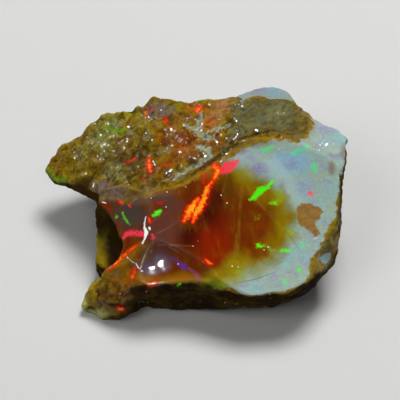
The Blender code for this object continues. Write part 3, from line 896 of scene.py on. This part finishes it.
def opal_body(paint):
    """The opal under the crust: milky rim, fringe, honey, amber and ember, under a violet-grey painted sheen.
    """
    wispy = paint.stretched(8.0, (1.0, 1.3, 1.0))
    depth = paint.zone("core") + (paint.cloud(1.5, 3.0, 0.55, 0.3, place=wispy) - 0.5) * 2.4
    deep = depth.ramp(0.3, 1.2)
    streaks = paint.cloud(1.1, 3.0, 0.55, shift=51.0, place=paint.stretched(8.0, (0.7, 2.0, 1.0)))
    patchy = paint.cloud(1.3, 3.0, shift=45.0).ramp(0.35, 0.62, 0.3, 1.0)
    broken = paint.cloud(0.8, 3.0, shift=41.0).ramp(0.35, 0.65, 0.25, 1.0)
    haze = paint.cloud(1.8, 2.0, shift=31.0).ramp(0.3, 0.7, 0.7, 1.0)
    body = paint.over(milk_colours(paint), ("fringe", depth.ramp(-1.2, 0.5)), ("honey", depth.ramp(0.0, 0.9)),
                      ("amber", depth.ramp(0.9, 2.8)))
    body = paint.zones(body, ("walnut", deep), ("maroon", deep), ("ember", deep))
    body = paint.over(
        body,
        ("honey", streaks.ramp(0.5, 0.7, 0.0, 0.22) * deep),
        ("maroon", streaks.ramp(0.52, 0.32, 0.0, 0.25) * deep),
        ("thread", paint.zone("thread").ramp(0.24, -0.02, 0.0, 0.36) * broken))
    # The violet-grey one of these is a painted sheen of reflected light.
    body = paint.zones(body, ("sheen_veil", haze), ("slate", haze), ("heather", 0.6), ("tan", 0.6))
    body = paint.over(body, ("hackle", paint.zone("hackle").ramp(0.1, -0.03, 0.0, 0.6) * broken))
    # The last of these is the painted sheen in the bowl.
    body = paint.zones(body, ("glow", 0.9), ("dim", patchy), ("lime", patchy), ("bowl_sheen", 0.8))
    body = paint.over(body, ("plum", paint.zone("plum").ramp(0.22, -0.1) * broken))
    body = paint.zones(body, ("rust", 0.5), ("flare", 0.6), ("green_glow_and_patch", 1.0))
    return paint.over(body, ("umber_and_shade", paint.zone("crack").ramp(0.05, -0.02, 0.0, 0.45)))


def crust_colours(paint, glints):
    """The crust: olive-gold, brown, straw and grey-green host rock, with painted shade in its pits and
    painted light on its crests.
    """
    along = paint.stretched(45.0, (1.7, 0.8, 1.0))
    patch = paint.cloud(2.4, 4.0, 0.6)
    streak = paint.cloud(1.0, 4.0, 0.6, shift=7.0, place=along)
    lumps = paint.cloud(0.6, 3.0, 0.6, shift=9.0).ramp(0.4, 0.6, 0.2, 0.9)
    crust = paint.over(
        "olive",
        ("bark", patch.ramp(0.45, 0.68, 0.0, 0.7)),
        ("straw", paint.zone("straw")),
        ("straw", streak.ramp(0.5, 0.68, 0.0, 0.6)),
        ("bark", paint.zone("dusk") * 0.8),
        ("bark", streak.ramp(0.48, 0.33, 0.0, 0.8)))
    crust = paint.zones(
        crust, ("lichen", streak.ramp(0.35, 0.6, 0.4, 1.0)), ("rust", patch.ramp(0.3, 0.6, 0.6, 1.0)),
        ("tan", lumps), ("heather", lumps), ("blush", 0.9), ("flare", patch.ramp(0.35, 0.6, 0.5, 1.0)),
        ("green_glow_and_patch", 1.0))

    host = paint.zone("host")
    hidden = paint.zone("hidden")
    brown = paint.cloud(0.8, 4.0, 0.7, shift=17.0, place=along) + (
        host.ramp(0.7, 0.1, 0.0, 0.14) + paint.zone("host end") * 0.24)
    grit = paint.cloud(0.5, 3.0, shift=53.0, place=along).ramp(0.4, 0.6)
    earthy = paint.over("bark", ("olive", grit), ("host", 0.3))
    rocky = paint.over("host", ("bark", patch.ramp(0.4, 0.65, 0.0, 0.5)), (earthy, brown.ramp(0.52, 0.66)))
    far_rock = paint.cloud(5.0, 5.0, 0.6, shift=61.0).ramp(0.5, 0.56, 0.0, 0.9) * hidden
    window = paint.cloud(3.2, 4.0, 0.6, shift=67.0).ramp(0.6, 0.66, 0.0, 0.7) * hidden
    crust = paint.over(
        crust,
        (rocky, (host + (streak - 0.5) * 1.2).ramp(-0.1, 0.2)),
        (rocky, far_rock),
        (paint.blend(lumps, "fringe", "milk"), window),
        ("host", paint.zone("flank") * lumps),
        ("sand", paint.zone("pale") * lumps))

    mottle = paint.cloud(0.45, 5.0, 0.75, shift=37.0, place=along)
    crust = paint.over(
        crust,
        ("umber_and_shade", mottle.ramp(0.5, 0.36, 0.0, 0.525)),
        ("straw", mottle.ramp(0.53, 0.66, 0.0, 0.3)),
        (paint.blend(lumps, "rust", "straw"), (paint.zone("crust") + mottle * 0.6).ramp(1.0, 0.3, 0.0, 0.8)))
    crust = paint.zones(crust, ("heather", lumps.ramp(0.3, 0.8, 0.1, 0.75)))
    vein = paint.zone("vein") + (paint.cloud(0.6, 4.0, 0.7, 0.8, shift=3.0, place=along) - 0.5) * 1.4
    strands = paint.cloud(0.25, 3.0, 0.6, shift=5.0, place=along).ramp(0.4, 0.6, 0.0, 0.6)
    # Darker along the creases and the host rock's edge: partly a dark brown band, partly painted shadow.
    crease_band_and_shade = paint.zone("crease_band_and_shade") + (mottle - 0.5) * 0.5
    crust = paint.over(
        crust,
        (paint.blend(strands, "sand", "cream"), vein.ramp(0.14, -0.1, 0.0, 0.85)),
        ("umber_and_shade", crease_band_and_shade.ramp(0.16, -0.1, 0.0, 0.7)))
    crust = paint.zones(crust, ("russet", mottle.ramp(0.62, 0.45, 0.3, 0.9)), ("bone", 1.0))
    # Painted shade where a point lies below the skin around it, and painted light, in straw, where it stands
    # proud.
    edge = paint.zone("fine edge")
    crust = paint.over(
        crust,
        (PAINTED_PIT_SHADE, edge.ramp(-0.004, -0.035, 0.0, 0.525)),
        ("straw", edge.ramp(0.004, 0.035, 0.0, 0.3)))
    # Painted shade on the underside and the walls.
    crust = paint.zones(crust, ("umber_and_shade", patch.ramp(0.35, 0.65, 0.8, 1.0)))
    # Painted glints: a few grains lightened as if they caught the light.
    return paint.over(crust, (PAINTED_GLINT_COLOUR, glints * 0.5))


def add_fire(paint, body):
    """Lays the play of colour over the stone."""
    clump = paint.cloud(0.6, 3.0, shift=49.0).ramp(0.35, 0.65, 0.2, 1.0)
    body = paint.blend(paint.zone("red fire").ramp(0.55, 0.0, 0.0, 0.7) * clump, body, "deep_fire")
    stray = (0.735 - paint.cloud(1.2, 1.0, shift=71.0)) * 3.0 + paint.zone("hidden").ramp(0.4, 0.8, 3.0, 0.0)
    pick = paint.cloud(3.0, 0.0, shift=73.0).ramp(0.49, 0.51)
    leaf = paint.blend(0.4, "green_fire", "lime_fire")
    # Each kind's zone or gap, its two colours, and its grain size, raggedness, softness and strength.
    kinds = (
        ("faint fire", "deep_fire", "red_fire", 0.25, 0.25, 0.22, 0.65),
        ("soft fire", "soft_fire", "soft_fire", 0.3, 0.25, 0.2, 0.75),
        ("lime fire", "lime_fire", "lime", 0.25, 0.4, 0.2, 0.5),
        ("red fire", "red_fire", "orange_fire", 0.28, 0.24, 0.12, 1.0),
        ("pink fire", "pink_fire", "pink_fire", 0.25, 0.2, 0.16, 0.95),
        ("gold fire", "red_fire", "orange_fire", 0.22, 0.25, 0.13, 0.95),
        ("green fire", leaf, "green_fire", 0.22, 0.2, 0.11, 1.0),
        ("violet fire", "violet_fire", "violet_fire", 0.3, 0.14, 0.2, 0.8),
        (stray, paint.blend(pick, "red_fire", "green_fire"), paint.blend(pick, "orange_fire", "lime_fire"),
         0.25, 0.12, 0.2, 0.6),
    )
    group = fire_group()
    for gap, first, second, size, ragged, soft, strength in kinds:
        gap = paint.zone(gap) if isinstance(gap, str) else gap
        grains = {"Place": paint.place, "Gap": gap, "Grain Size": size, "Ragged": ragged, "Soft": soft}
        mask = put(paint.tree, "Group", "Mask", grains, node_tree=group)
        body = paint.blend(mask * strength, body, paint.blend(mask.beside("Heart"), first, second))
    return body


def opal_material(tones):
    """The stone's finish: glassy opal that turns into rough crust."""
    material = bpy.data.materials.new("rough opal")
    material.use_nodes = True
    tree = material.node_tree
    paint = Paint(tree, tones)
    grain = put(tree, "Group", "Height", {"Place": paint.place, "Size": 0.42}, node_tree=grain_group())

    ragged = paint.cloud(0.8, 4.0, 0.65, shift=2.0) - 0.5
    frayed = paint.cloud(0.45, 5.0, 0.75, shift=33.0) - 0.5
    crusty = (paint.zone("crust") + ragged * 1.3).ramp(-0.16, 0.1)
    milky = (paint.zone("cream") + ragged * 2.4).ramp(-0.12, 0.12)
    spot = (paint.zone("stain") + frayed * 0.9).ramp(0.08, -0.1, 0.0, 0.9)
    mottled = paint.cloud(0.35, 3.0, shift=29.0).ramp(0.42, 0.6, 0.0, 0.4)
    # Painted highlights and painted sparkles: near-white, with frayed edges.
    white = (paint.zone("painted_highlight") + frayed * 0.3).ramp(0.03, -0.03)
    hollow = paint.over(
        "straw",
        ("olive", paint.cloud(1.4, 3.0, shift=13.0).ramp(0.4, 0.6, 0.0, 0.6)),
        (paint.blend(0.55, "bark", "umber_and_shade"), (paint.zone("bay shade") + ragged * 0.7).ramp(-0.1, 0.85)))
    colours = paint.over(
        opal_body(paint),
        (crust_colours(paint, grain.beside("Painted Glints")), crusty),
        (hollow, paint.zone("bay")),
        (paint.blend(0.5, milk_colours(paint), "pearl"), milky),
        (paint.blend(mottled, "stain", "bark"), spot))

    rough = crusty * (1.0 - milky)
    dull = sums("MAXIMUM", rough * paint.zone("umber_and_shade"), paint.zone("bay"))
    worn = paint.zone("broad edge").ramp(0.015, 0.05) * (1.0 - rough)
    gloss = rough.ramp(0.0, 1.0, 0.55, 0.42)
    finish = {
        "Base Color": paint.over(add_fire(paint, colours), (PAINTED_HIGHLIGHT_COLOUR, white)),
        "Roughness": rough.ramp(0.0, 1.0, 0.11, 0.42) + (worn * 0.35 + dull * 0.38),
        "Coat Weight": sums("SUBTRACT", gloss, worn * 0.5 + dull * 0.42, clamp=True),
        "Normal": put(tree, "Bump", "Normal",
                      {"Height": grain, "Distance": 0.12 * MM, "Strength": rough * 0.9 + 0.03}),
        "Metallic": 0.0,
        "Coat Roughness": 0.06,
        "IOR": 1.45,
        "Specular IOR Level": 0.04,
        "Subsurface Weight": 0.15,
        "Subsurface Radius": (1.0, 0.6, 0.3),
        "Subsurface Scale": 0.6 * MM,
    }
    for name, value in finish.items():
        feed(tree.nodes["Principled BSDF"], name, value)
    return material


def make_stone(sizes, tones):
    """The fine stone that stands for the solid."""
    stone = fine_copy("opal_stone", sizes.spacing)
    skin = Skin(stone.data)
    skin.smooth(np.ones(len(skin.points)), 3)
    normals = skin.normals()
    fresh = fresh_share(skin, normals)
    skin.smooth(smooth_step(0.2, 0.9, skin.spread(fresh, 2)), 24)
    settle_on_fractures(skin, fresh)
    normals = skin.normals()
    fresh = fresh_share(skin, normals)
    crust = 1.0 - skin.spread(fresh, 2)
    calm = smooth_step(-0.3, 0.5, outline_depth(*picture_place(skin.points), HOST_OUTLINE))
    rocky = 0.35 + 0.65 * smooth_step(0.4, -0.3, knob_depth(skin.points))
    relief(skin, crust * rocky * (1.0 - 0.5 * calm), normals, sizes)
    skin.normals()
    skin.store("crust", crust)
    refine(stone.data)
    skin = Skin(stone.data)
    store_zones(skin, skin.normals(), skin.read("crust"))
    store_edges(skin)
    stone.data.shade_smooth()
    stone.data.materials.append(opal_material(tones))
    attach(stone, "root")
    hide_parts(NODE)
    return stone


def camera_location():
    return (TARGET + view_axes()[2] * DISTANCE) * MM


def mirror_lamp_place(stone, across, down):
    """Where a lamp stands so that its highlight shows at a place in the picture."""
    right, up, back = view_axes()
    pixels = PICTURE * LENS_MM / SENSOR_MM
    ray = Vector(-back * pixels + right * (across - PICTURE / 2) - up * (down - PICTURE / 2)).normalized()
    tree = BVHTree.FromObject(stone, bpy.context.evaluated_depsgraph_get())
    eye = Vector(camera_location())
    spot, normal, _, _ = tree.ray_cast(eye, ray)
    return spot + ray.reflect(normal) * HIGHLIGHT_REACH


def add_lamp(name, place, size, power, highlight=False):
    """A soft lamp that lights the stone, or a small one that shows only as a highlight on its glossy skin."""
    light = bpy.data.lights.new(name, "AREA")
    light.shape = "ELLIPSE"
    light.size, light.size_y = size
    light.energy = power
    lamp = bpy.data.objects.new(name, light)
    bpy.context.scene.collection.objects.link(lamp)
    lamp.location = place
    lamp.rotation_mode = "QUATERNION"
    lamp.rotation_quaternion = (Vector(STAGE_MIDDLE) - Vector(place)).to_track_quat("-Z", "Y")
    lamp.visible_glossy = highlight
    lamp.visible_diffuse = not highlight
    lamp.visible_camera = False


def make_stage(stone):
    """Pale floor, two soft lamps, four small lamps for sparkle and highlights, and the camera."""
    scene = bpy.context.scene
    floor_mesh = bpy.data.meshes.new("floor")
    corners = [(x * FLOOR_HALF, y * FLOOR_HALF, 0.0) for x, y in ((-1, -1), (1, -1), (1, 1), (-1, 1))]
    floor_mesh.from_pydata(corners, [], [(0, 1, 2, 3)])
    floor = bpy.data.objects.new("floor", floor_mesh)
    scene.collection.objects.link(floor)
    paper = bpy.data.materials.new("pale floor")
    paper.use_nodes = True
    shader = paper.node_tree.nodes["Principled BSDF"]
    shader.inputs["Base Color"].default_value = FLOOR_COLOUR
    shader.inputs["Roughness"].default_value = 0.8
    floor_mesh.materials.append(paper)

    for name, (place, size, power) in SOFT_LAMPS.items():
        add_lamp(name, place, size, power)
    for name, (place, size, power) in SPARKLE_LAMPS.items():
        add_lamp(name, place, size, power, highlight=True)
    for name, (spot, size, power) in HIGHLIGHTS.items():
        add_lamp(name, mirror_lamp_place(stone, *spot), size, power, highlight=True)

    world = bpy.data.worlds.new("studio")
    scene.world = world
    world.use_nodes = True
    background = world.node_tree.nodes["Background"]
    background.inputs["Color"].default_value = (1.0, 1.0, 1.0, 1.0)
    background.inputs["Strength"].default_value = 0.05

    lens = bpy.data.cameras.new("camera")
    lens.lens = LENS_MM
    lens.sensor_width = SENSOR_MM
    lens.clip_start = 0.005
    camera = bpy.data.objects.new("camera", lens)
    scene.collection.objects.link(camera)
    camera.location = camera_location()
    camera.rotation_mode = "QUATERNION"
    camera.rotation_quaternion = Vector(-view_axes()[2]).to_track_quat("-Z", "Y")
    scene.camera = camera
    scene.view_settings.view_transform = "Standard"


class OPAL_OT_make_stone(bpy.types.Operator):
    """Make the rough opal in place of its plain solid"""

    bl_idname = "opal.make_stone"
    bl_label = "Make Opal Stone"

    def execute(self, context):
        make_stone(context.scene.opal_sizes, context.scene.opal_colours)
        return {"FINISHED"}


class OPAL_OT_make_stage(bpy.types.Operator):
    """Make the pale floor, the lamps and the camera"""

    bl_idname = "opal.make_stage"
    bl_label = "Make Stage"

    def execute(self, context):
        make_stage(bpy.data.objects["opal_stone"])
        return {"FINISHED"}


class OPAL_PT_panel(bpy.types.Panel):
    """Makes the opal and sets its sizes and colours"""

    bl_idname = "OPAL_PT_panel"
    bl_label = "Rough Opal"
    bl_space_type = "VIEW_3D"
    bl_region_type = "UI"
    bl_category = "Rough Opal"

    def draw(self, context):
        for group in (context.scene.opal_sizes, context.scene.opal_colours):
            column = self.layout.column(align=True)
            for name in group.bl_rna.properties.keys():
                if name not in ("rna_type", "name"):
                    column.prop(group, name)
        self.layout.operator(OPAL_OT_make_stone.bl_idname)
        self.layout.operator(OPAL_OT_make_stage.bl_idname)


CLASSES = (OpalSizes, OpalColours, OPAL_OT_make_stone, OPAL_OT_make_stage, OPAL_PT_panel)


def register():
    for made in CLASSES:
        bpy.utils.register_class(made)
    bpy.types.Scene.opal_sizes = bpy.props.PointerProperty(type=OpalSizes)
    bpy.types.Scene.opal_colours = bpy.props.PointerProperty(type=OpalColours)


def unregister():
    del bpy.types.Scene.opal_colours
    del bpy.types.Scene.opal_sizes
    for made in reversed(CLASSES):
        bpy.utils.unregister_class(made)


def main():
    register()
    bpy.ops.opal.make_stone()
    bpy.ops.opal.make_stage()


if __name__ == "__main__":
    main()
